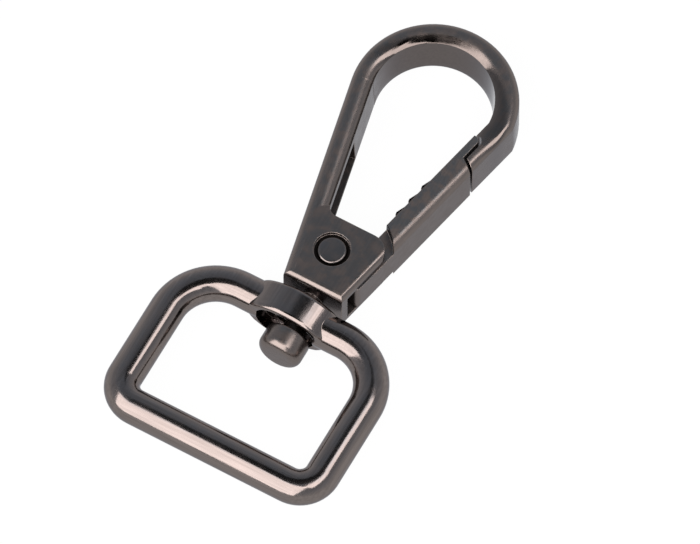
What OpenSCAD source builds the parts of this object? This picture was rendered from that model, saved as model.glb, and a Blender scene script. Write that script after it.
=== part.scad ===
// Small swivel snap hook: a teardrop hook with a sprung gate, riding on the swivel eye of a strap ring.
// The part lies flat on its back. X runs across, Y runs towards the top of the hook, Z is the thickness.
// The origin is below the middle of the part, on the surface that it lies on.

/* [Hook] */
// Thickness of the hook, front to back
hook_t = 5.4; // [4.8:0.1:6.2]
// Width of the hook's arm, seen from the front
arm_w = 2.1; // [1.8:0.05:2.5]
// Inner radius of the round top
loop_r = 5.45; // [5:0.05:6.5]
// Distance from the gate's pin to the middle of the round top
loop_reach = 18.05; // [16.5:0.1:20]
// How far the round top's outer edge swells to the right
outer_swell = 0.45; // [0.1:0.05:0.5]
// How far its inner edge swells to the right
inner_swell = 0.2; // [0.05:0.05:0.3]
// Lean of each flank from the long axis
flank_angle = 12; // [10.5:0.5:13]
// Rounding of the arm's outer front edge
arm_round = 0.85; // [0.5:0.05:0.95]
// Radius of the dome that falls to the arm's inner front edge
inner_round = 1.2; // [0.6:0.05:1.2]
// Slope at which that dome meets the inner wall
inner_turn = 60; // [50:5:70]
// Rounding of the arm's back edges
arm_back_round = 0.7; // [0.4:0.05:0.9]
// Slope of the arm's inner wall, how much the opening narrows to the back
arm_draft = 0.2; // [0:0.05:0.3]

// Distance from the pin to the hook's long axis
axis_shift = 0.25; // [0:0.05:0.3]

/* [Groove in the arm] */
// Depth of the groove inside the arm
groove_depth = 0.9; // [0.6:0.1:1.1]
// Height of the groove's front edge above the back face
groove_top = 4; // [3.5:0.05:4.2]
// Height of the groove's back edge above the back face
groove_bottom = 0.75; // [0.7:0.05:1]
// Distance from the pin to the groove's upper end
groove_reach = 11.6; // [9:0.1:13]

/* [Body] */
// Distance from the pin to the body's top edge
body_up = 3.1; // [2.9:0.1:3.6]
// Distance from the pin to the body's bottom face
body_down = 4.05; // [3.9:0.05:4.6]
// Radius of the body's outer top corner
body_corner = 1.7; // [1.2:0.1:2]
// Rounding of the body's bottom edges
bottom_round = 0.65; // [0.3:0.05:0.8]
// Rounding of the cheeks' outer edges
cheek_round = 0.6; // [0.2:0.05:0.8]
// Thickness of each cheek beside the slot
cheek_t = 0.9; // [0.8:0.05:1.1]
// Wall left between the two cheeks along the bottom
bridge_t = 0.75; // [0.6:0.05:1]
// Radius of the fillet between the arm and the body's top edge
crotch_r = 0.9; // [0.5:0.1:1.2]

/* [Gate] */
// Gap between the gate and the nose
nose_gap = 0.3; // [0.15:0.01:0.35]
// Width of the tongue that laps behind the nose
tongue_w = 0.85; // [0.7:0.05:1]
// Distance from the end of the round top to the nose's step
nose_step = 0.3; // [0.2:0.05:0.6]
// Rounding of the tongue's tip
tongue_round = 0.5; // [0.2:0.05:0.6]
// Length of the nose's outer finger, past its step
finger_l = 2.5; // [2.2:0.1:3]
// Slant of the finger's end
finger_angle = 24; // [0:1:30]
// How far the nose stands out beyond the flank
nose_proud = 0.1; // [0:0.05:0.2]
// How far the gate stands out beyond the flank
gate_proud = 0.15; // [0.05:0.05:0.25]
// Distance from the pin to the root of the full-thickness lever
lever_root = 5.5; // [5.2:0.1:6]
// Rounding of the lever's inner front edge
lever_inner_round = 0.2; // [0.1:0.05:0.85]
// Length of the gate's tail below the pin, along the flank
tail_l = 1.4; // [0.8:0.1:1.6]
// Clearance between the gate's hub and each cheek
hub_gap = 0.12; // [0.08:0.01:0.2]
// Radius of the gate's hub
hub_r = 2.35; // [2.2:0.05:2.5]
// Height of the grip rib on the gate's inner side
rib_h = 0.86; // [0.6:0.02:1]
// Thickness of the grip rib
rib_t = 2.0; // [1.4:0.1:2.2]
// Number of teeth on the grip rib
rib_teeth = 3; // [2:1:4]
// Length of each tooth along the rib
rib_pitch = 1.75; // [1.2:0.05:1.9]
// Distance from the pin to the lower end of the grip rib
rib_reach = 7.25; // [7:0.05:8.5]

/* [Pin] */
// Radius of the pin
pin_r = 1.36; // [1.2:0.02:1.45]
// Depth of the pin's ends below the faces of the cheeks
pin_sink = 0.08; // [0.04:0.02:0.2]
// Running clearance between the pin and the gate's bore
pin_gap = 0.06; // [0.03:0.01:0.1]
// Clearance between the pin and the cheeks, where it is staked
pin_stake_gap = 0.01; // [0.005:0.005:0.02]
// Rounding of the pin's ends
pin_round = 0.25; // [0.1:0.05:0.3]
// Radius of the recess round each end of the pin
pin_recess_r = 1.7; // [1.6:0.05:1.9]
// Depth of that recess in each cheek
pin_recess_depth = 0.35; // [0.2:0.05:0.45]

/* [Spring] */
// Thickness of the spring wire
wire_d = 0.34; // [0.3:0.01:0.38]
// Number of turns round the pin
spring_turns = 3; // [2:1:3]
// Distance between the turns
spring_pitch = 0.44; // [0.4:0.01:0.48]
// Gap between the spring and the pin
spring_gap = 0.12; // [0.08:0.01:0.15]

/* [Swivel] */
// Radius of the neck below the body
neck_r = 1; // [0.9:0.05:1.2]
// Radius of the head on the neck's end
head_r = 2.12; // [2.1:0.02:2.4]
// Length of the head
head_l = 2.35; // [2.2:0.05:3]
// Rounding of the head's end
head_round = 0.8; // [0.4:0.05:0.9]
// Clearance between the neck and the hole in the eye
eye_play = 0.85; // [0.6:0.05:0.9]
// Distance that the ring rests to the left of the pin
eye_shift = 0.5; // [0:0.05:0.5]
// Gap between the body and the eye
eye_gap_top = 0.72; // [0.3:0.02:1]
// Gap between the eye and the head
eye_gap_head = 0.45; // [0.3:0.05:0.8]

/* [Eye] */
// Width of the eye
eye_w = 8.2; // [7.8:0.1:9]
// Thickness of the eye, front to back
eye_t = 5.2; // [5:0.1:5.6]
// Height of the eye along the neck
eye_h = 3.1; // [2.8:0.1:3.6]
// Radius of the eye's two ends, seen along the neck
eye_end_r = 1.9; // [1.7:0.05:2.2]
// Rounding of the eye's rims
eye_round = 0.45; // [0.2:0.05:0.6]
// Width of the recess round the head
recess_w = 6; // [5.6:0.1:6.4]
// Rim between the recess and the eye's faces
recess_rim = 0.55; // [0.45:0.05:0.7]
// Depth of the recess
recess_depth = 1.2; // [0.8:0.1:1.4]

/* [Ring] */
// Inner width of the ring, for the strap
ring_inner_w = 17; // [15:0.5:20]
// Height of the ring between the middles of its top and bottom bars
ring_h = 14.93; // [13:0.1:17]
// Thickness of the ring's bar
bar_d = 3.3; // [3:0.05:3.6]
// Radius of the ring's top corners, at the middle of the bar
ring_top_r = 5; // [4:0.1:6]
// Radius of the ring's bottom corners, at the middle of the bar
ring_bottom_r = 2.3; // [2:0.1:3]

/* [Hidden] */
$fn = 64;
tiny = 0.01;
// The arms stand back by this much where they run into the round top
joint_inset = 0.015;
mid_z = hook_t / 2;
outer_r = loop_r + arm_w;

// Heights along the long axis, measured from the pin
body_bottom = -body_down;
eye_top = body_bottom - eye_gap_top;
eye_mid = eye_top - eye_h / 2;
eye_bottom = eye_top - eye_h;
head_top = eye_bottom - eye_gap_head;
head_bottom = head_top - head_l;
ring_bottom = eye_mid - ring_h;
part_top = loop_reach + outer_r;
part_bottom = ring_bottom - bar_d / 2;

// The origin lies in the middle of the length, and on the middle of the ring
pin_x = eye_shift;
pin_y = -(part_top + part_bottom) / 2;

// Perpendicular distances from the pin to the flanks
flank_out = outer_r - loop_reach * sin(flank_angle);
flank_in = loop_r - loop_reach * sin(flank_angle);
gate_out = flank_out + gate_proud;
// Distance along the flank from the pin's foot to where the round top begins
flank_l = loop_reach * cos(flank_angle);

// Flat strip along the arm's front, across the flank
arm_mid = flank_in + arm_w - arm_round - 0.05;

pin_l = hook_t - 2 * pin_sink;
slot_t = hook_t - 2 * cheek_t;
hub_t = slot_t - 2 * hub_gap;
slot_end = body_bottom + bridge_t;
spring_r = pin_r + spring_gap + wire_d / 2;
pocket_r = spring_r + wire_d / 2 + 0.12;
pocket_t = spring_turns * spring_pitch + wire_d + 0.14;
gate_open_angle = 32;

// Points of an arc about c
function arc(c, r, a0, a1, n) =
    [for (i = [0 : n]) c + r * [cos(a0 + (a1 - a0) * i / n), sin(a0 + (a1 - a0) * i / n)]];

// Outline through corners [x, y, radius], each corner rounded by its own radius
function unit(v) = v / norm(v);
function wrap(a) = a > 180 ? a - 360 : (a < -180 ? a + 360 : a);
function corner_arc(a, p, b, r, n) =
    let (u = unit(a - p), v = unit(b - p),
         half = acos(u * v) / 2,
         c = p + unit(u + v) * r / sin(half),
         s = p + u * r / tan(half) - c,
         e = p + v * r / tan(half) - c,
         a0 = atan2(s[1], s[0]),
         turn = wrap(atan2(e[1], e[0]) - a0))
    arc(c, r, a0, a0 + turn, n);
function rounded(corners, n = 8) =
    let (k = len(corners), xy = [for (q = corners) [q[0], q[1]]])
    [for (i = [0 : k - 1])
        for (p = corners[i][2] > 0
                ? corner_arc(xy[(i + k - 1) % k], xy[i], xy[(i + 1) % k], corners[i][2], n)
                : [xy[i]]) p];

// Place things measured from the pin
module at_pin() {
    translate([pin_x, pin_y, 0]) children();
}

// Frame of the right flank: X outwards from the pin, Y up along the flank
module on_flank() {
    rotate([0, 0, -flank_angle]) children();
}

// Frame of the hook's long axis, beside the pin
module on_axis() {
    translate([axis_shift, 0, 0]) children();
}

// Section of the arm: u outwards from the opening, v up from the back face.
// The inner front edge is an arc of radius r that turns by less than a right angle
function arm_section(w, inset = 0, r = inner_round, turn = inner_turn) =
    let (front = hook_t - inset,
         foot = inset - arm_draft / 2,
         rest = rounded([
             [foot, inset, arm_back_round - inset],
             [w - inset, inset, arm_back_round - inset],
             [w - inset, front, arm_round - inset],
             [foot + arm_draft, front, 0]]),
         rise = (front - r * (1 - cos(turn)) - inset) / (front - inset),
         wall = foot + arm_draft * rise)
    [for (i = [0 : 26]) rest[i], each arc([wall + r * sin(turn), front - r], r, 90, 90 + turn, 8)];

// A straight stretch of arm along Y from y0 to y1, its opening side at x = 0
module straight_arm(y0, y1, w, inset = 0, r = inner_round, turn = inner_turn) {
    translate([0, y1, 0]) rotate([90, 0, 0]) linear_extrude(y1 - y0)
        polygon(arm_section(w, inset, r, turn));
}

// Inner and outer sides of a section, each from the front face to the back or round again
function section_inner(sec) = [for (i = [27 : 35]) sec[i], for (i = [0 : 8]) sec[i]];
function section_outer(sec) = [for (i = [9 : 26]) sec[i]];

// The round top is tangent to the left arm at its full height, and swells to the right:
// the sideways shift of a round's centre, and the growth of its radius
function swell_shift(swell) = swell / (1 + cos(flank_angle) / (1 + sin(flank_angle)));
function swell_growth(swell) = swell - swell_shift(swell);

module swollen_centre(swell) {
    translate([swell_shift(swell), loop_reach - swell_growth(swell), 0]) children();
}

// Room beyond the nose's outer side, with its rounded edges
module beyond_nose() {
    w = arm_w + nose_proud;
    side = section_outer(arm_section(w));
    on_flank() translate([flank_in, flank_l + 4, 0]) rotate([90, 0, 0]) linear_extrude(6)
        polygon([
            [side[0][0], -1],
            each side,
            [side[17][0], hook_t + 1],
            [w + 2, hook_t + 1],
            [w + 2, -1]]);
}

module round_top() {
    r = outer_r + swell_growth(outer_swell);
    hole = loop_r + swell_growth(inner_swell);
    wall = section_inner(arm_section(arm_w));
    difference() {
        swollen_centre(outer_swell) rotate([0, 0, -flank_angle])
            rotate_extrude(angle = 180 + 2 * flank_angle)
                polygon([[0, 0], each [for (p = section_outer(arm_section(arm_w))) [p[0] - arm_w + r, p[1]]], [0, hook_t]]);
        swollen_centre(inner_swell) rotate_extrude()
            polygon([
                [0, hook_t + 1],
                [hole + wall[0][0], hook_t + 1],
                each [for (p = wall) [hole + p[0], p[1]]],
                [hole + wall[17][0], -1],
                [0, -1]]);
        beyond_nose();
    }
}

// Cuts the edge of a straight wall to a round: the wall's top edge runs along +Y on x = 0, z = 0
module edge_cut(l, r) {
    translate([0, l + tiny, 0]) rotate([90, 0, 0]) linear_extrude(l + 2 * tiny)
        difference() {
            translate([-r, -r]) square([r + 1, r + 1]);
            translate([-r, -r]) circle(r);
        }
}

module ring_bar(l) {
    cylinder(d = bar_d, h = l);
}

// Hook body: round top, left arm, nose, clevis cheeks, neck and head in one casting

// Front view of the body from the left arm to the right flank, with its fillet into the arm
function flank_x(u, y) = (u + y * sin(flank_angle)) / cos(flank_angle);
function body_outline() =
    let (crotch = [-flank_x(flank_in, body_up), body_up],
         run = crotch_r * tan(45 - flank_angle / 2) + 0.02,
         below = body_bottom - 1)
    rounded([
        [-flank_x(arm_mid, below), below, 0],
        [flank_x(flank_out, below), below, 0],
        [flank_x(flank_out, body_up), body_up, body_corner],
        [crotch[0], crotch[1], crotch_r],
        [crotch[0] - run * sin(flank_angle), crotch[1] + run * cos(flank_angle), 0],
        [-flank_x(arm_mid, body_up), body_up, 0]]);

// Cheeks and left arm, cut off and rounded along the bottom
module lower_body() {
    reach = 2 * outer_r;
    difference() {
        union() {
            linear_extrude(hook_t) polygon(body_outline());
            mirror([1, 0, 0]) on_flank() translate([flank_in, 0, 0])
                straight_arm(body_bottom - 2, flank_l, arm_w, joint_inset);
        }
        translate([-reach / 2, body_bottom - 4, -1]) cube([reach, 4, hook_t + 2]);
        for (side = [0, 1]) translate([0, 0, side * hook_t]) mirror([0, 0, 1 - side]) {
            translate([reach / 2, body_bottom, 0]) rotate([0, 0, 90]) mirror([1, 0, 0])
                edge_cut(reach, bottom_round);
            on_flank() translate([flank_out, body_bottom - 2, 0])
                edge_cut(body_up - body_bottom + 2, cheek_round);
        }
    }
}

// Space for the gate between the cheeks
module gate_slot() {
    lean = gate_open_angle - flank_angle;
    translate([0, 0, cheek_t]) linear_extrude(slot_t) {
        circle(hub_r + 0.25);
        polygon([
            [0, slot_end],
            [outer_r, slot_end],
            [outer_r, body_up + 4],
            [-(body_up + 4) * tan(lean) - 0.3, body_up + 4],
            [-0.3, 0]]);
    }
}

module nose() {
    on_flank() translate([flank_in, 0, 0])
        difference() {
            straight_arm(flank_l - nose_step - finger_l - 1, flank_l + 1.8, arm_w + nose_proud, joint_inset);
            // room for the tongue, and the slanted end of the finger
            translate([0, flank_l - nose_step, -1]) linear_extrude(hook_t + 2)
                polygon(rounded([
                    [-1, -finger_l - 3, 0],
                    [-1, 0, 0],
                    [tongue_w + nose_gap, 0, tongue_round + nose_gap],
                    [tongue_w + nose_gap, -finger_l, 0],
                    [arm_w + 1, -finger_l - (arm_w + 1 - tongue_w - nose_gap) * tan(finger_angle), 0],
                    [arm_w + 1, -finger_l - 3, 0]]));
        }
}

module neck_and_head() {
    translate([0, 0, mid_z]) rotate([90, 0, 0]) {
        translate([0, 0, -body_bottom - 1]) cylinder(r = neck_r, h = 1 - head_bottom + body_bottom - head_round);
        translate([0, 0, -head_top]) rotate_extrude()
            polygon([
                [0, 0],
                each arc([head_r - 0.25, 0.25], 0.25, -90, 0, 4),
                each arc([head_r - head_round, head_l - head_round], head_round, 0, 90, 8),
                [0, head_l]]);
    }
}

module hook_body() {
    color("#57534f") at_pin()
    difference() {
        on_axis() {
            round_top();
            nose();
            lower_body();
            neck_and_head();
        }
        gate_slot();
        // groove inside the arm
        on_axis() mirror([1, 0, 0]) on_flank()
            translate([flank_in - 1, body_up, groove_bottom])
                cube([1 + groove_depth, groove_reach - body_up, groove_top - groove_bottom]);
        // hole for the pin, with a recess round each end
        translate([0, 0, -1]) cylinder(r = pin_r + pin_stake_gap, h = hook_t + 2);
        translate([0, 0, -1]) cylinder(r = pin_recess_r, h = 1 + pin_recess_depth);
        translate([0, 0, hook_t - pin_recess_depth]) cylinder(r = pin_recess_r, h = 1 + pin_recess_depth);
    }
}

// Gate: lever with a tongue behind the nose, hub between the cheeks, tail below

module gate_lever() {
    top = flank_l - nose_step - nose_gap;
    // the shoulder follows the finger's slanted end at the same gap
    shoulder = flank_l - nose_step - finger_l - nose_gap * (1 / cos(finger_angle) - tan(finger_angle));
    on_axis() on_flank() translate([flank_in, 0, 0])
        difference() {
            straight_arm(0, top, arm_w + gate_proud, 0, lever_inner_round, 90);
            translate([0, 0, -1]) linear_extrude(hook_t + 2)
                polygon([
                    [tongue_w - tongue_round, top + 1],
                    each arc([tongue_w - tongue_round, top - tongue_round], tongue_round, 90, 0, 8),
                    [tongue_w, shoulder],
                    [arm_w + 1, shoulder - (arm_w + 1 - tongue_w) * tan(finger_angle)],
                    [arm_w + 1, top + 1]]);
        }
}

module gate_rib() {
    on_axis() on_flank() translate([flank_in, rib_reach, groove_bottom + 0.2])
        linear_extrude(rib_t)
            polygon([
                [0.3, 0],
                [0.3, rib_teeth * rib_pitch],
                each [for (i = [rib_teeth - 1 : -1 : 0])
                    each [[-rib_h + 0.35, (i + 1) * rib_pitch], [-rib_h, i * rib_pitch + 0.25], [-rib_h + 0.1, i * rib_pitch]]]]);
}

// Front view of the hub, its root up to the lever, and the tail
module hub_outline() {
    circle(hub_r);
    translate([axis_shift, 0]) rotate(-flank_angle)
        polygon(rounded([
            [0, -tail_l, 0],
            [gate_out, -tail_l, 0.5],
            [gate_out, lever_root + 0.6, 0],
            [flank_in + 0.1, lever_root + 0.6, 0],
            [flank_in + 0.1, 0.5, 0],
            [0, 0.5, 0]]));
}

module hub_layer(z, t) {
    translate([0, 0, z]) linear_extrude(t) difference() {
        hub_outline();
        children();
    }
}

// Two ears on the pin, with the spring's pocket between them open to the left and below
module gate_hub() {
    ear_t = (hub_t - pocket_t) / 2;
    bottom = cheek_t + hub_gap;
    hub_layer(bottom, ear_t) circle(pin_r + pin_gap);
    hub_layer(bottom + ear_t, pocket_t) {
        circle(pocket_r);
        rotate(-flank_angle) translate([-4, -4]) square([4 + pocket_r - 0.8, 4.3]);
    }
    hub_layer(bottom + ear_t + pocket_t, ear_t) circle(pin_r + pin_gap);
}

module gate() {
    color("#5b5753") at_pin() {
        // lever, cut back to a hollow round about the pin
        difference() {
            gate_lever();
            translate([0, 0, -1]) cylinder(r = lever_root, h = hook_t + 2);
        }
        gate_rib();
        gate_hub();
    }
}

// Pin through the cheeks and the gate
module pivot_pin() {
    color("#4d4a47") at_pin()
        translate([0, 0, pin_sink]) rotate_extrude()
            polygon([
                [0, 0],
                each arc([pin_r - pin_round, pin_round], pin_round, -90, 0, 6),
                each arc([pin_r - pin_round, pin_l - pin_round], pin_round, 0, 90, 6),
                [0, pin_l]]);
}

// Torsion spring round the pin, one leg on the body's bridge and one in the gate

function spring_path(steps = 20) =
    let (turn = 360 * spring_turns,
         z0 = mid_z - spring_turns * spring_pitch / 2,
         a0 = 200,
         a1 = a0 + turn - 110)
    [
        [spring_r * cos(a0) + 1.1 * sin(a0), spring_r * sin(a0) - 1.1 * cos(a0), z0],
        for (i = [0 : steps * spring_turns])
            let (t = i / (steps * spring_turns), a = a0 + (a1 - a0) * t)
            [spring_r * cos(a), spring_r * sin(a), z0 + spring_turns * spring_pitch * t],
    ];

// Tube of wire swept along a path that climbs round Z
module wire(path, d, sides = 8) {
    n = len(path);
    ring = function (i)
        let (a = path[max(i - 1, 0)], b = path[min(i + 1, n - 1)],
             t = unit(b - a),
             s = unit(cross([0, 0, 1], t)),
             u = cross(t, s))
        [for (k = [0 : sides - 1]) path[i] + d / 2 * (s * cos(360 * k / sides) + u * sin(360 * k / sides))];
    points = [for (i = [0 : n - 1]) each ring(i)];
    faces = [
        [for (k = [0 : sides - 1]) k],
        for (i = [0 : n - 2], k = [0 : sides - 1])
            [i * sides + k, (i + 1) * sides + k, (i + 1) * sides + (k + 1) % sides, i * sides + (k + 1) % sides],
        [for (k = [sides - 1 : -1 : 0]) (n - 1) * sides + k]];
    polyhedron(points, faces, convexity = 6);
}

module gate_spring() {
    color("#8a8680") at_pin() wire(spring_path(), wire_d);
}

// Strap ring with its swivel eye in one casting

// Rim of a barrel from its inner radius to the outer one, rounded at both ends of its height
function rim(inner, outer, h, r, inset = 0) = [
    [inner, inset],
    each arc([outer - r, r], r - inset, -90, 0, 6),
    each arc([outer - r, h - r], r - inset, 0, 90, 6),
    [inner, h - inset]];

// Oval barrel about the neck: a wide round in front and behind, and a small round at each end
module oval_barrel(w, t, h, r, end_r) {
    end_x = w / 2 - end_r;
    wide_r = (pow(end_x, 2) + pow(t / 2, 2) - pow(end_r, 2)) / (t - 2 * end_r);
    spread = atan2(end_x, wide_r - t / 2);
    for (side = [0, 1]) mirror([0, side, 0])
        translate([0, t / 2 - wide_r, 0]) rotate([0, 0, 90 - spread])
            rotate_extrude(angle = 2 * spread) polygon(rim(wide_r - t / 2 - 0.2, wide_r, h, r));
    for (side = [-1, 1]) translate([side * end_x, 0, 0])
        rotate_extrude() polygon(rim(0, end_r, h, r, joint_inset));
}

module ring_corner(r, a) {
    rotate([0, 0, a]) rotate_extrude(angle = 90) translate([r, 0]) circle(d = bar_d);
}

module strap_ring() {
    half = (ring_inner_w + bar_d) / 2;
    top = eye_mid;
    bottom = ring_bottom;
    color("#5a5450") translate([0, pin_y, mid_z])
    difference() {
        union() {
            for (side = [0, 1]) mirror([side, 0, 0]) {
                translate([half - ring_top_r, top - ring_top_r, 0]) ring_corner(ring_top_r, 0);
                translate([half - ring_bottom_r, bottom + ring_bottom_r, 0]) ring_corner(ring_bottom_r, -90);
                translate([half, bottom + ring_bottom_r, 0]) rotate([-90, 0, 0])
                    ring_bar(top - bottom - ring_top_r - ring_bottom_r);
                translate([eye_w / 2 - 1.2, top, 0]) rotate([0, 90, 0])
                    ring_bar(half - ring_top_r - eye_w / 2 + 1.2);
            }
            translate([-half + ring_bottom_r, bottom, 0]) rotate([0, 90, 0])
                ring_bar(2 * (half - ring_bottom_r));
            translate([0, eye_top, 0]) rotate([90, 0, 0]) oval_barrel(eye_w, eye_t, eye_h, eye_round, eye_end_r);
        }
        // hole for the neck
        translate([0, eye_top + 1, 0]) rotate([90, 0, 0]) cylinder(r = neck_r + eye_play, h = eye_h + 2);
        // recess round the head
        translate([0, eye_bottom - tiny, 0]) rotate([-90, 0, 0]) linear_extrude(recess_depth + tiny) {
            for (side = [-1, 1])
                translate([side * (recess_w - eye_t + 2 * recess_rim) / 2, 0]) circle(eye_t / 2 - recess_rim);
            square([recess_w - eye_t + 2 * recess_rim, eye_t - 2 * recess_rim], center = true);
        }
    }
}

hook_body();
gate();
pivot_pin();
gate_spring();
strap_ring();
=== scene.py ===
# A small swivel snap hook of black-nickel castings, lying on its back on a white table
import math
import bmesh
import bpy
import numpy as np
from mathutils import Matrix, Vector


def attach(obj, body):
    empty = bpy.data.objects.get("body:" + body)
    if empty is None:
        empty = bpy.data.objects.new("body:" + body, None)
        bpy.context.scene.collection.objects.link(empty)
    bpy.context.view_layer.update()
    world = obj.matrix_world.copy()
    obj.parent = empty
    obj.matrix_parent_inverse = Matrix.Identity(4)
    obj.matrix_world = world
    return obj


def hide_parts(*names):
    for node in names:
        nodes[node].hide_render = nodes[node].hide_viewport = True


mm = 0.001

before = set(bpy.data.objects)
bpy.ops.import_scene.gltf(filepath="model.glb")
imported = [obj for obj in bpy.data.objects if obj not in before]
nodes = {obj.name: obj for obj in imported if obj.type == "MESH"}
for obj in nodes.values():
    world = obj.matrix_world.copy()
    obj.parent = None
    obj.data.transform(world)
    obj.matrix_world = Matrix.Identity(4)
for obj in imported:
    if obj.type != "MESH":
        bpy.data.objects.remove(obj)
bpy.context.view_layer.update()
print("scene: CAD frame loaded,", len(nodes), "nodes")

# Where the pin's axis stands in plan, and how high the hook's front face lies, in mm
pin = {"x": 0.5, "y": -1.35, "front": 5.4}

# Camera: a long lens, turned so that the hook leans to the upper right
shot = {
    "turn": 29.3,              # degrees that the long axis leans in the picture
    "tilt": 26.2,              # degrees between the line of sight and the table's normal
    "scale": 11.12,            # picture points for a millimetre
    "distance": 1600.0,        # mm from the part
    "pinAt": (332.1, 249.3),   # where the pin stands in the picture, in picture points
    "size": (700, 544),        # width and height that those points are counted in
    "sensor": 36,              # mm
    "clip": (0.01, 20),        # nearest and farthest that is drawn, in metres
}


def placeCamera():
    turn = math.radians(shot["turn"])
    tilt = math.radians(shot["tilt"])
    right = Vector((math.cos(turn), math.sin(turn), 0))
    up = Vector((-math.cos(tilt) * math.sin(turn), math.cos(tilt) * math.cos(turn), math.sin(tilt)))
    back = right.cross(up)
    # how far the picture's middle lies from the pin, across and down, in mm
    across = (shot["size"][0] / 2 - shot["pinAt"][0]) / shot["scale"]
    down = (shot["size"][1] / 2 - shot["pinAt"][1]) / shot["scale"]
    target = Vector((pin["x"], pin["y"], pin["front"])) + right * across - up * down
    lens = bpy.data.cameras.new("camera")
    lens.sensor_width = shot["sensor"]
    lens.lens = shot["scale"] * shot["distance"] / shot["size"][0] * lens.sensor_width
    lens.clip_start, lens.clip_end = shot["clip"]
    camera = bpy.data.objects.new("camera", lens)
    bpy.context.scene.collection.objects.link(camera)
    stand = Matrix.Translation((target + back * shot["distance"]) * mm)
    camera.matrix_world = stand @ Matrix((right, up, back)).transposed().to_4x4()
    bpy.context.scene.camera = camera


placeCamera()
bpy.context.scene.view_settings.view_transform = "Standard"
print("scene: camera placed")


def link(tree, output, socket):
    tree.links.new(output, socket)


# Gives a socket a plain number, or links a node's output to it
def feed(tree, value, socket):
    if isinstance(value, (int, float)):
        socket.default_value = value
    else:
        link(tree, value, socket)


def node(tree, kind, at=(0, 0), **values):
    made = tree.nodes.new(kind)
    made.location = at
    for name, value in values.items():
        setattr(made, name, value)
    return made


def maths(tree, kind, a, b, at):
    made = node(tree, "ShaderNodeMath", at, operation=kind)
    feed(tree, a, made.inputs[0])
    feed(tree, b, made.inputs[1])
    return made.outputs[0]


# A value from 0 at the first end to 1 at the second: straight, or eased in and out
def spread(tree, value, ends, at, eased=False):
    made = node(tree, "ShaderNodeMapRange", at)
    if eased:
        made.interpolation_type = "SMOOTHSTEP"
    feed(tree, ends[0], made.inputs["From Min"])
    feed(tree, ends[1], made.inputs["From Max"])
    link(tree, value, made.inputs["Value"])
    return made.outputs["Result"]


def blend(tree, share, a, b, at):
    made = node(tree, "ShaderNodeMix", at, data_type="RGBA")
    link(tree, share, made.inputs["Factor"])
    link(tree, a, made.inputs[6])
    link(tree, b, made.inputs[7])
    return made.outputs[2]


# How far a point lies in plan from a middle that is given in mm
def planDistance(tree, place, middle, at):
    level = node(tree, "ShaderNodeVectorMath", at, operation="MULTIPLY")
    level.inputs[1].default_value = (1, 1, 0)
    link(tree, place.outputs["Object"], level.inputs[0])
    away = node(tree, "ShaderNodeVectorMath", (at[0] + 200, at[1]), operation="DISTANCE")
    link(tree, level.outputs[0], away.inputs[0])
    away.inputs[1].default_value = (middle[0] * mm, middle[1] * mm, 0)
    return away.outputs["Value"]


def metres(lengths):
    return [length * mm for length in lengths]


# Light: a dim cool room, two softboxes on the near side, and two black cards close above the part
light = {
    "zenith": (0.36, 0.38, 0.42),
    "middle": (0.62, 0.65, 0.70),
    "horizon": (0.95, 0.94, 0.94),
    "middleAt": 0.4,   # from 0 at the horizon to 1 straight overhead
    "zenithAt": 0.9,
    # azimuth and height in degrees, distance, width and height in mm, brightness against white, colour
    "softbox": [
        {"azimuth": -104, "height": 40, "distance": 600, "size": (800, 780),
         "level": 4.6, "colour": (1.0, 0.93, 0.90)},
        {"azimuth": 4, "height": 61, "distance": 600, "size": (540, 250),
         "level": 4.6, "colour": (1.0, 0.93, 0.90)},
    ],
    # each card's middle, half length and half width in mm, and its turn in plan in degrees
    "card": [
        {"at": (1, -11, 80), "radii": (36, 25), "turn": 36},
        {"at": (8, 26, 80), "radii": (21, 7), "turn": 0},
    ],
    "cardTone": 0.01,
}


# The camera sees plain white behind everything, and the metal sees the room's tone by height
def lightWorld():
    world = bpy.data.worlds.new("room")
    bpy.context.scene.world = world
    world.use_nodes = True
    tree = world.node_tree
    tree.nodes.clear()
    out = node(tree, "ShaderNodeOutputWorld", (900, 0))
    mixed = node(tree, "ShaderNodeMixShader", (700, 0))
    path = node(tree, "ShaderNodeLightPath", (0, 300))
    seen = node(tree, "ShaderNodeBackground", (400, 200))
    seen.inputs["Color"].default_value = (1, 1, 1, 1)
    room = node(tree, "ShaderNodeBackground", (400, 0))
    way = node(tree, "ShaderNodeTexCoord", (-800, 0))
    height = node(tree, "ShaderNodeSeparateXYZ", (-600, 100))
    link(tree, way.outputs["Generated"], height.inputs[0])
    fall = node(tree, "ShaderNodeValToRGB", (-400, 100))
    ramp = fall.color_ramp
    ramp.elements[0].position = 0.0
    ramp.elements[0].color = (*light["horizon"], 1)
    ramp.elements[1].position = light["zenithAt"]
    ramp.elements[1].color = (*light["zenith"], 1)
    middle = ramp.elements.new(light["middleAt"])
    middle.color = (*light["middle"], 1)
    link(tree, height.outputs["Z"], fall.inputs[0])
    link(tree, fall.outputs["Color"], room.inputs["Color"])
    link(tree, path.outputs["Is Camera Ray"], mixed.inputs["Fac"])
    link(tree, room.outputs[0], mixed.inputs[1])
    link(tree, seen.outputs[0], mixed.inputs[2])
    link(tree, mixed.outputs[0], out.inputs["Surface"])


def addSoftbox(azimuth, height, distance, size, level, colour):
    lamp = bpy.data.lights.new("softbox", "AREA")
    lamp.shape = "RECTANGLE"
    lamp.size = size[0] * mm
    lamp.size_y = size[1] * mm
    lamp.energy = level * math.pi * lamp.size * lamp.size_y   # so that its face looks "level" times white
    lamp.color = colour
    box = bpy.data.objects.new("softbox", lamp)
    bpy.context.scene.collection.objects.link(box)
    turn, rise = math.radians(azimuth), math.radians(height)
    way = Vector((math.cos(turn) * math.cos(rise), math.sin(turn) * math.cos(rise), math.sin(rise)))
    box.location = way * distance * mm
    box.rotation_mode = "QUATERNION"
    box.rotation_quaternion = way.to_track_quat("Z", "Y")


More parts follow.
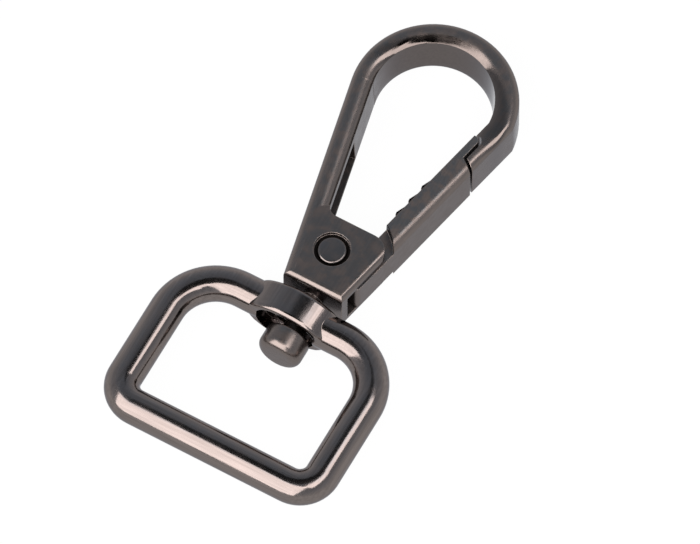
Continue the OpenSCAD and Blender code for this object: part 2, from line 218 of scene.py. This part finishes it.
lightWorld()
for box in light["softbox"]:
    addSoftbox(**box)


def cardFinish():
    made = bpy.data.materials.new("cardBlack")
    made.use_nodes = True
    shader = made.node_tree.nodes["Principled BSDF"]
    shader.inputs["Base Color"].default_value = (*[light["cardTone"]] * 3, 1)
    shader.inputs["Specular IOR Level"].default_value = 0.0
    return made


# A level ellipse: cosine times the long radius and sine times the short one, turned in plan. The camera
# doesn't see it. The metal does, as a dark band, and it stands in the softboxes' light
def hangCard(finish, at, radii, turn):
    corners = 64
    turns = np.linspace(0, 2 * np.pi, corners, endpoint=False)
    lean = math.radians(turn)
    long, short = np.cos(turns) * radii[0], np.sin(turns) * radii[1]
    rim = np.stack([long * math.cos(lean) - short * math.sin(lean),
                    long * math.sin(lean) + short * math.cos(lean), 0 * turns], axis=1) + at
    mesh = bpy.data.meshes.new("card")
    mesh.from_pydata((rim * mm).tolist(), [], [tuple(range(corners))])
    mesh.materials.append(finish)
    card = bpy.data.objects.new("card", mesh)
    bpy.context.scene.collection.objects.link(card)
    card.visible_camera = False
    card.visible_diffuse = False


cardBlack = cardFinish()
for card in light["card"]:
    hangCard(cardBlack, **card)

table = {
    "half": 1500,   # half its width, in mm
    "drop": 0.02,   # mm that it lies below the part's back
    "matt": 0.9,    # tone of its matt white
    "glow": 0.97,   # share of plain white in what the camera and the metal see of it
}


# White table top under the part: white to the camera and in the metal, with a faint shadow
def layTable():
    half = table["half"] * mm
    mesh = bpy.data.meshes.new("table")
    corners = [(-half, -half, 0), (half, -half, 0), (half, half, 0), (-half, half, 0)]
    mesh.from_pydata(corners, [], [(0, 1, 2, 3)])
    top = bpy.data.objects.new("table", mesh)
    top.location = (0, 0, -table["drop"] * mm)
    bpy.context.scene.collection.objects.link(top)
    finish = bpy.data.materials.new("tableWhite")
    finish.use_nodes = True
    tree = finish.node_tree
    tree.nodes.clear()
    out = node(tree, "ShaderNodeOutputMaterial", (600, 0))
    mixed = node(tree, "ShaderNodeMixShader", (400, 0))
    matt = node(tree, "ShaderNodeBsdfDiffuse", (100, 0))
    matt.inputs["Color"].default_value = (*[table["matt"]] * 3, 1)
    glow = node(tree, "ShaderNodeEmission", (100, -150))
    ray = node(tree, "ShaderNodeLightPath", (-400, 200)).outputs
    direct = maths(tree, "MAXIMUM", ray["Is Camera Ray"], ray["Is Glossy Ray"], (-200, 200))
    direct = maths(tree, "MAXIMUM", direct, ray["Is Transmission Ray"], (-50, 200))
    link(tree, maths(tree, "MULTIPLY", direct, table["glow"], (100, 200)), mixed.inputs["Fac"])
    link(tree, matt.outputs[0], mixed.inputs[1])
    link(tree, glow.outputs[0], mixed.inputs[2])
    link(tree, mixed.outputs[0], out.inputs["Surface"])
    mesh.materials.append(finish)


layTable()
print("scene: light and table")

# The plating's patterns. A pair is where an effect begins and where it is full
wear = {
    # each noise's scale to a metre and its detail, and the part of it that shows
    "stainNoise": (900, 8), "stain": (0.44, 0.62),
    "speckNoise": (3200, 4), "speck": (0.50, 0.68), "speckShare": 0.5,
    "rubNoise": (2600, 2), "rub": (0.35, 0.62),
    "lineNoise": (5200, 4), "lineStretch": 0.04, "lineTurn": 4,
    # how far a face looks up, from 0 on a wall to 1: for the haze, the painted shade in recesses and the worn
    # round top
    "flat": (0.90, 0.995), "sunk": (0.90, 0.97), "lifted": (0.15, 0.45),
    # how nearly the rounded normal and the true one agree, at a rubbed edge
    "edge": (0.985, 0.90),
    # the polished inside of the round top, which is also darkened as painted shade, in mm: its middle in plan,
    # how near to that, how far along the part, and how far across, or else how far along on the left, where
    # the arm begins
    "topMiddle": (0.9, 15.0), "topNear": (7.8, 7.1), "topAlong": (13.0, 16.5),
    "topAcross": (-3.0, -0.5), "topAlongLeft": (16.2, 19.2),
    # where the ring's bars lie across the part, in mm: how far down it and how near its middle line
    "barsDown": (-7.5, -9.5), "barsNear": (9.8, 8.0),
    # how much each effect adds to the value, the roughness, the height and the normal
    "lineShade": 0.9, "polishShade": -0.28, "sunkShade": -0.93,
    "stainRough": 0.05, "polishRough": -0.17, "speckHeight": -0.12, "polishLift": 0.8,
}


# Black-nickel plating: bright and brown on the rounds, dulled blue-grey on the flat faces, with fine
# lines along the bars, small stains, thin rubbed edges, and painted shade inside the round top and in
# recesses.
# Gives colour, roughness, height and normal
def platingGroup():
    tree = bpy.data.node_groups.new("plating", "ShaderNodeTree")
    sockets = tree.interface
    for name in ("Colour", "Haze", "Rubbed"):
        sockets.new_socket(name, in_out="INPUT", socket_type="NodeSocketColor")
    for name in ("Roughness", "Dull", "Stains", "Lines", "PolishAndShade", "Recess", "Edge"):
        sockets.new_socket(name, in_out="INPUT", socket_type="NodeSocketFloat")
    for name, kind in (("Colour", "NodeSocketColor"), ("Roughness", "NodeSocketFloat"),
                       ("Height", "NodeSocketFloat"), ("Soft Normal", "NodeSocketVector")):
        sockets.new_socket(name, in_out="OUTPUT", socket_type=kind)
    given = node(tree, "NodeGroupInput", (-1600, 0)).outputs
    put = node(tree, "NodeGroupOutput", (1200, 0)).inputs
    place = node(tree, "ShaderNodeTexCoord", (-1600, -400))

    def noise(scale, detail, at, stretch=(1, 1, 1), turn=0.0):
        turned = node(tree, "ShaderNodeMapping", (at[0] - 200, at[1]))
        turned.inputs["Scale"].default_value = stretch
        turned.inputs["Rotation"].default_value = (0, 0, math.radians(turn))
        link(tree, place.outputs["Object"], turned.inputs["Vector"])
        made = node(tree, "ShaderNodeTexNoise", at)
        made.inputs["Scale"].default_value = scale
        made.inputs["Detail"].default_value = detail
        link(tree, turned.outputs[0], made.inputs["Vector"])
        return made.outputs["Fac"]

    # flat faces that look up or down take the haze
    facing = node(tree, "ShaderNodeSeparateXYZ", (-1200, -700))
    link(tree, place.outputs["Normal"], facing.inputs[0])
    upright = maths(tree, "ABSOLUTE", facing.outputs["Z"], 0, (-1000, -700))
    flat = spread(tree, upright, wear["flat"], (-800, -700), True)
    where = node(tree, "ShaderNodeSeparateXYZ", (-1200, -500))
    link(tree, place.outputs["Object"], where.inputs[0])

    # the inside of the round top, rubbed shiny by the rings it has carried; its colour is darkened there as
    # painted shade
    away = planDistance(tree, place, wear["topMiddle"], (-1400, -1300))
    near = spread(tree, away, metres(wear["topNear"]), (-1000, -1300), True)
    polishandshade = maths(tree, "MULTIPLY", near, given["PolishAndShade"], (-800, -1300))
    start = spread(tree, where.outputs["Y"], metres(wear["topAlong"]), (-800, -1450), True)
    polishandshade = maths(tree, "MULTIPLY", polishandshade, start, (-600, -1300))
    # on the left it fades out earlier, before the arm begins
    over = spread(tree, where.outputs["X"], metres(wear["topAcross"]), (-800, -1600), True)
    later = spread(tree, where.outputs["Y"], metres(wear["topAlongLeft"]), (-800, -1750), True)
    fading = maths(tree, "MAXIMUM", over, later, (-600, -1600))
    polishandshade = maths(tree, "MULTIPLY", polishandshade, fading, (-500, -1450))

    # stains of two sizes
    stain = spread(tree, noise(*wear["stainNoise"], (-900, 300)), wear["stain"], (-700, 300))
    speck = spread(tree, noise(*wear["speckNoise"], (-900, 150)), wear["speck"], (-700, 150))
    specks = maths(tree, "MULTIPLY", speck, wear["speckShare"], (-500, 150))
    stained = maths(tree, "ADD", stain, specks, (-350, 250))
    stained = maths(tree, "MULTIPLY", stained, given["Stains"], (-200, 250))

    # fine lines along the part, and across it where the ring's bars lie across
    thin = wear["lineStretch"]
    along = noise(*wear["lineNoise"], (-900, -100), stretch=(1, thin, 1), turn=wear["lineTurn"])
    across = noise(*wear["lineNoise"], (-900, -300), stretch=(thin, 1, 1))
    below = spread(tree, where.outputs["Y"], metres(wear["barsDown"]), (-900, -500), True)
    aside = maths(tree, "ABSOLUTE", where.outputs["X"], 0, (-1000, -600))
    inner = spread(tree, aside, metres(wear["barsNear"]), (-800, -600), True)
    grain = node(tree, "ShaderNodeMix", (-400, -200), data_type="FLOAT")
    link(tree, maths(tree, "MULTIPLY", below, inner, (-600, -550)), grain.inputs["Factor"])
    link(tree, along, grain.inputs[2])
    link(tree, across, grain.inputs[3])
    brushed = maths(tree, "SUBTRACT", grain.outputs[0], 0.5, (-200, -200))
    brushed = maths(tree, "MULTIPLY", brushed, given["Lines"], (0, -200))

    # rubbed edges: where the rounded normal leaves the true one
    soft = node(tree, "ShaderNodeBevel", (-900, -900), samples=8)
    link(tree, given["Edge"], soft.inputs["Radius"])
    true = node(tree, "ShaderNodeNewGeometry", (-900, -1050))
    agree = node(tree, "ShaderNodeVectorMath", (-700, -950), operation="DOT_PRODUCT")
    link(tree, soft.outputs[0], agree.inputs[0])
    link(tree, true.outputs["Normal"], agree.inputs[1])
    edge = spread(tree, agree.outputs["Value"], wear["edge"], (-500, -950), True)
    rub = spread(tree, noise(*wear["rubNoise"], (-700, -1200)), wear["rub"], (-500, -1200))
    edge = maths(tree, "MULTIPLY", edge, rub, (-300, -950))

    # painted shade: faces that look up from below the recess height are darkened, as shade in the recess
    low = maths(tree, "LESS_THAN", where.outputs["Z"], given["Recess"], (-200, 500))
    floor = spread(tree, facing.outputs["Z"], wear["sunk"], (-200, 600), True)
    sunk = maths(tree, "MULTIPLY", low, floor, (0, 550))

    clean = maths(tree, "SUBTRACT", 1.0, stained, (0, 400))
    dull = maths(tree, "MULTIPLY", flat, clean, (150, 400))
    hazed = blend(tree, dull, given["Colour"], given["Haze"], (350, 400))
    rubbed = blend(tree, edge, hazed, given["Rubbed"], (550, 300))
    # painted shade inside the round top
    shade = maths(tree, "MULTIPLY", polishandshade, wear["polishShade"], (250, 150))
    # painted shade on upward faces in the recesses
    shade = maths(tree, "ADD", shade, maths(tree, "MULTIPLY", sunk, wear["sunkShade"], (250, 500)), (400, 200))
    value = maths(tree, "MULTIPLY", brushed, wear["lineShade"], (400, 50))
    value = maths(tree, "ADD", maths(tree, "ADD", value, 1.0, (550, 50)), shade, (650, 100))
    shaded = node(tree, "ShaderNodeHueSaturation", (800, 300))
    link(tree, rubbed, shaded.inputs["Color"])
    link(tree, value, shaded.inputs["Value"])
    link(tree, shaded.outputs[0], put["Colour"])

    rough = given["Roughness"]
    for mask, share in (
            (flat, given["Dull"]), (stained, wear["stainRough"]), (polishandshade, wear["polishRough"])):
        rough = maths(tree, "ADD", rough, maths(tree, "MULTIPLY", mask, share, (200, -100)), (400, -50))
    link(tree, rough, put["Roughness"])
    pits = maths(tree, "MULTIPLY", speck, wear["speckHeight"], (200, -300))
    link(tree, maths(tree, "ADD", brushed, pits, (400, -250)), put["Height"])

    # the polished edge is worn a little flatter than it was cast
    rise = maths(tree, "MULTIPLY", polishandshade, wear["polishLift"], (-400, -1300))
    facingUp = spread(tree, facing.outputs["Z"], wear["lifted"], (-600, -1500), True)
    lifted = node(tree, "ShaderNodeCombineXYZ", (-100, -1100))
    link(tree, maths(tree, "MULTIPLY", rise, facingUp, (-250, -1300)), lifted.inputs[2])
    worn = node(tree, "ShaderNodeVectorMath", (100, -1000), operation="ADD")
    link(tree, soft.outputs[0], worn.inputs[0])
    link(tree, lifted.outputs[0], worn.inputs[1])
    evened = node(tree, "ShaderNodeVectorMath", (300, -1000), operation="NORMALIZE")
    link(tree, worn.outputs[0], evened.inputs[0])
    link(tree, evened.outputs[0], put["Soft Normal"])
    return tree


# Painted shade near the pin: its colour, and over how many mm it fades outwards and upwards
pinShade = {"colour": (0.012, 0.010, 0.009), "fadeOut": 0.12, "fadeUp": 0.15}


# Painted shade: what lies within a reach of the pin's axis and above a height is darkened, standing in for the
# shade in the round recess in the body and on the wall where the gate's lever rises from its hub
def pinShadeGroup():
    tree = bpy.data.node_groups.new("darkNearPin", "ShaderNodeTree")
    sockets = tree.interface
    sockets.new_socket("Colour", in_out="INPUT", socket_type="NodeSocketColor")
    for name in ("Reach", "Above"):
        sockets.new_socket(name, in_out="INPUT", socket_type="NodeSocketFloat")
    sockets.new_socket("Colour", in_out="OUTPUT", socket_type="NodeSocketColor")
    given = node(tree, "NodeGroupInput", (-1400, 200)).outputs
    put = node(tree, "NodeGroupOutput", (0, 300)).inputs
    place = node(tree, "ShaderNodeTexCoord", (-1600, 500))
    away = planDistance(tree, place, (pin["x"], pin["y"]), (-1200, 600))
    outside = maths(tree, "ADD", given["Reach"], pinShade["fadeOut"] * mm, (-1000, 450))
    inside = spread(tree, away, (outside, given["Reach"]), (-800, 600), True)
    where = node(tree, "ShaderNodeSeparateXYZ", (-1200, 350))
    link(tree, place.outputs["Object"], where.inputs[0])
    full = maths(tree, "ADD", given["Above"], pinShade["fadeUp"] * mm, (-1000, 250))
    above = spread(tree, where.outputs["Z"], (given["Above"], full), (-800, 350), True)
    mixed = node(tree, "ShaderNodeMix", (-250, 300), data_type="RGBA")
    link(tree, maths(tree, "MULTIPLY", inside, above, (-600, 500)), mixed.inputs["Factor"])
    link(tree, given["Colour"], mixed.inputs[6])
    mixed.inputs[7].default_value = (*pinShade["colour"], 1)
    link(tree, mixed.outputs[2], put["Colour"])
    return tree


plating = platingGroup()
darkNearPin = pinShadeGroup()

# What each piece's plating looks like. Upward faces below "recess" get painted shade.
# "recess", "edge", "relief", "reach" and "above" are in mm
looks = {
    "hook_body": {
        "colour": (0.152, 0.130, 0.121), "haze": (0.130, 0.126, 0.126), "rubbed": (0.24, 0.20, 0.18),
        "roughness": 0.24, "dull": 0.10, "stains": 1.0, "lines": 0.32, "polishandshade": 1.0,
        "recess": 0.0, "edge": 0.12, "relief": 0.006,
        # where the painted shade round the pin's recess lies
        "dark": {"reach": 1.58, "above": 0.0},
    },
    "gate": {
        "colour": (0.158, 0.135, 0.125), "haze": (0.128, 0.130, 0.134), "rubbed": (0.24, 0.20, 0.18),
        "roughness": 0.36, "dull": 0.02, "stains": 1.0, "lines": 0.32, "polishandshade": 0.0,
        "recess": 4.0, "edge": 0.12, "relief": 0.006,
        # where the painted shade on the wall at the lever's root lies
        "dark": {"reach": 5.5, "above": 4.42},
    },
    "pivot_pin": {
        "colour": (0.140, 0.125, 0.120), "haze": (0.118, 0.118, 0.122), "rubbed": (0.30, 0.24, 0.20),
        "roughness": 0.16, "dull": 0.14, "stains": 0.6, "lines": 0.25, "polishandshade": 0.0,
        "recess": 0.0, "edge": 0.08, "relief": 0.004,
    },
    "gate_spring": {
        "colour": (0.45, 0.42, 0.40), "haze": (0.40, 0.38, 0.37), "rubbed": (0.50, 0.47, 0.45),
        "roughness": 0.20, "dull": 0.0, "stains": 0.2, "lines": 0.1, "polishandshade": 0.0,
        "recess": 0.0, "edge": 0.02, "relief": 0.001,
    },
    "strap_ring": {
        "colour": (0.165, 0.142, 0.134), "haze": (0.145, 0.138, 0.140), "rubbed": (0.26, 0.22, 0.20),
        "roughness": 0.12, "dull": 0.06, "stains": 0.45, "lines": 0.75, "polishandshade": 0.0,
        "recess": 0.0, "edge": 0.08, "relief": 0.006,
    },
}
glancingTint = (0.63, 0.645, 0.68)   # of every piece's metal where it is seen at a low angle


def metal(name, look):
    made = bpy.data.materials.new(name + "Nickel")
    made.use_nodes = True
    tree = made.node_tree
    shader = tree.nodes["Principled BSDF"]
    shader.inputs["Metallic"].default_value = 1.0
    shader.inputs["Specular Tint"].default_value = (*glancingTint, 1)
    plated = node(tree, "ShaderNodeGroup", (-700, 0))
    plated.node_tree = plating
    for socket in ("Colour", "Haze", "Rubbed"):
        plated.inputs[socket].default_value = (*look[socket.lower()], 1)
    for socket in ("Roughness", "Dull", "Stains", "Lines", "PolishAndShade"):
        plated.inputs[socket].default_value = look[socket.lower()]
    for socket in ("Recess", "Edge"):
        plated.inputs[socket].default_value = look[socket.lower()] * mm
    colour = plated.outputs["Colour"]
    # painted shade near the pin, darkening the colour
    if "dark" in look:
        pinShaded = node(tree, "ShaderNodeGroup", (-400, 150))
        pinShaded.node_tree = darkNearPin
        pinShaded.inputs["Reach"].default_value = look["dark"]["reach"] * mm
        pinShaded.inputs["Above"].default_value = look["dark"]["above"] * mm
        link(tree, colour, pinShaded.inputs["Colour"])
        colour = pinShaded.outputs["Colour"]
    link(tree, colour, shader.inputs["Base Color"])
    link(tree, plated.outputs["Roughness"], shader.inputs["Roughness"])
    relief = node(tree, "ShaderNodeBump", (-250, -250))
    relief.inputs["Strength"].default_value = 1.0
    relief.inputs["Distance"].default_value = look["relief"] * mm
    link(tree, plated.outputs["Height"], relief.inputs["Height"])
    link(tree, plated.outputs["Soft Normal"], relief.inputs["Normal"])
    link(tree, relief.outputs[0], shader.inputs["Normal"])
    return made


finishes = {name: metal(name, look) for name, look in looks.items()}
print("scene: plating on", len(finishes), "finishes")

# The body that each piece rides on, its material slot, and how near, in mm, two of its corners are
# merged, which closes the hairline steps where bars join
skins = {
    "hook_body": {"body": "hook", "slot": "hook_metal", "merge": 0.018},
    "gate": {"body": "gate", "slot": "gate_metal", "merge": 0.018},
    "pivot_pin": {"body": "hook", "slot": "pin_steel", "merge": 0.001},
    "gate_spring": {"body": "hook", "slot": "spring_steel", "merge": 0.001},
    "strap_ring": {"body": "ring", "slot": "ring_metal", "merge": 0.018},
}
crispAngle = math.radians(26)   # an edge sharper than this stays crisp
evenWeight = 80                 # how strongly large faces hold the normals beside them


# Each piece again as one smooth skin: soft over its small facets and crisp at its real edges
def skin(name, body, slot, merge):
    mesh = nodes[name].data.copy()
    mesh.name = name + "Skin"
    shape = bmesh.new()
    shape.from_mesh(mesh)
    bmesh.ops.remove_doubles(shape, verts=shape.verts, dist=merge * mm)
    for edge in shape.edges:
        edge.smooth = len(edge.link_faces) == 2 and edge.calc_face_angle() < crispAngle
    for face in shape.faces:
        face.smooth = True
    shape.to_mesh(mesh)
    shape.free()
    mesh.materials.clear()
    mesh.materials.append(finishes[name])
    piece = bpy.data.objects.new(name + "Skin", mesh)
    bpy.context.scene.collection.objects.link(piece)
    even = piece.modifiers.new("even", "WEIGHTED_NORMAL")
    even.keep_sharp = True
    even.weight = evenWeight
    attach(piece, body)
    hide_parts(name)


for name, values in skins.items():
    skin(name, **values)
print("scene: smooth skins on", len(skins), "nodes")
